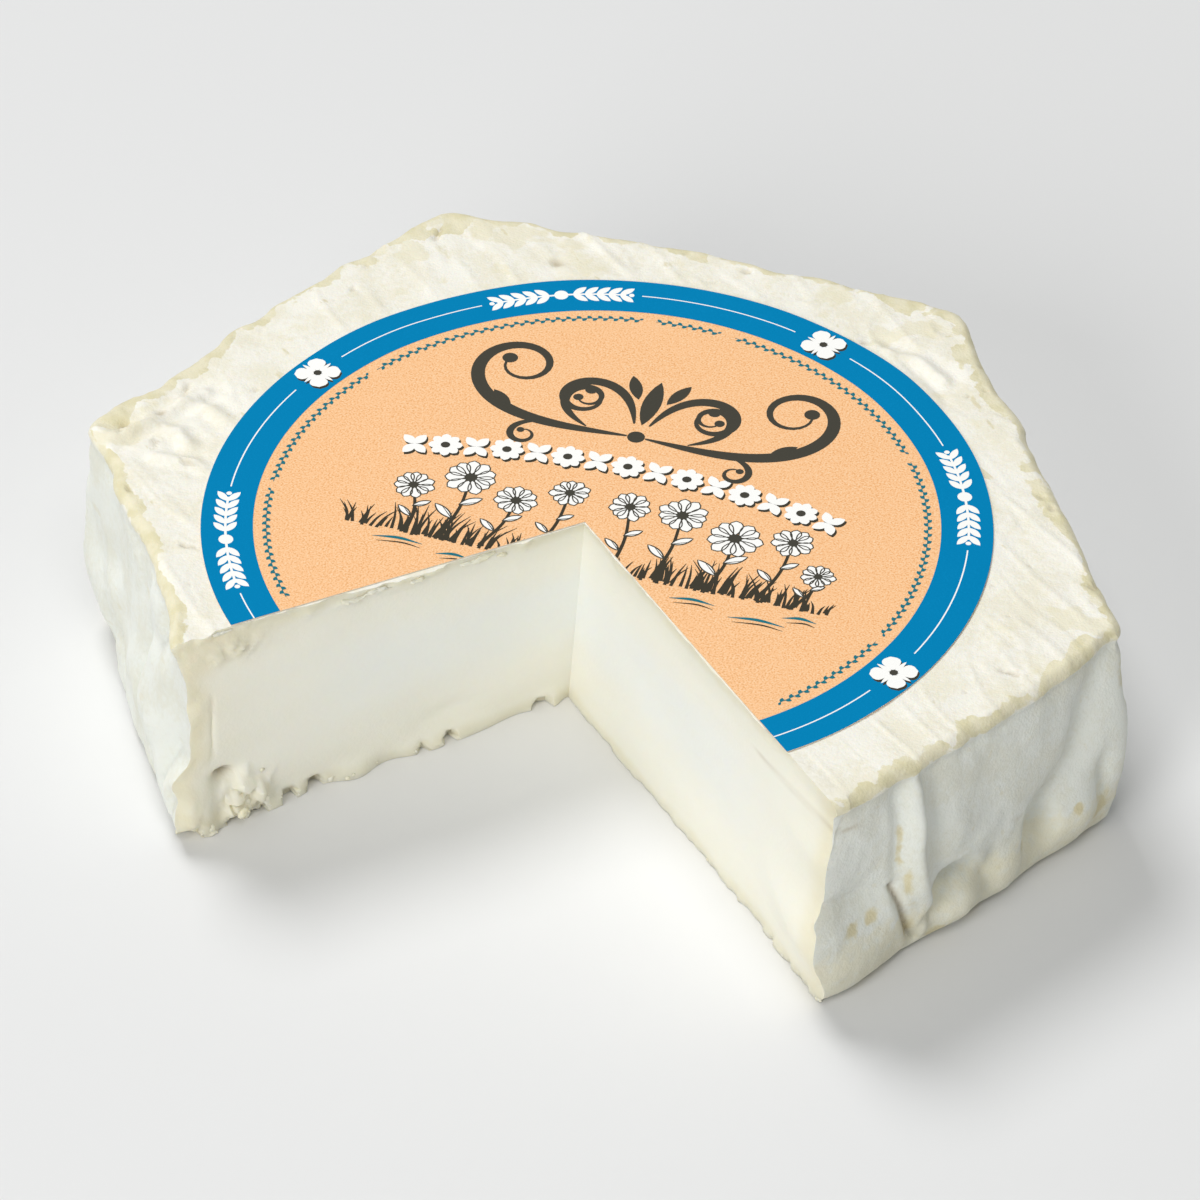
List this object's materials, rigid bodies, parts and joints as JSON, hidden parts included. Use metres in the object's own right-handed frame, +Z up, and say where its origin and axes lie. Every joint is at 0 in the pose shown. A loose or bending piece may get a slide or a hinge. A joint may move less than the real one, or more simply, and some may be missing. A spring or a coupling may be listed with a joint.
{
  "type": "cut hexagonal goat cheese wheel",
  "caption": "Flat hexagonal soft-ripened goat cheese with a white bloomy rind and a round paper label, cut open by a wedge.",
  "frame": {"origin": "on the flat base, under the middle of the cheese's box", "axes": "+Z up through the label, +X to the right-hand corner of the hexagon, the cut opens towards -Y"},
  "size_m": [0.193, 0.1462, 0.0447],
  "materials": {
    "rind_and_paste": "soft white bloomy rind, worn to ivory along its edges, with a smooth moist ivory paste on the cut faces",
    "label_paper": "thin matt kraft-coloured paper with a printed blue border"
  },
  "bodies": {
    "root": {"cheese": "rind_and_paste", "label": "label_paper"}
  },
  "joints": []
}
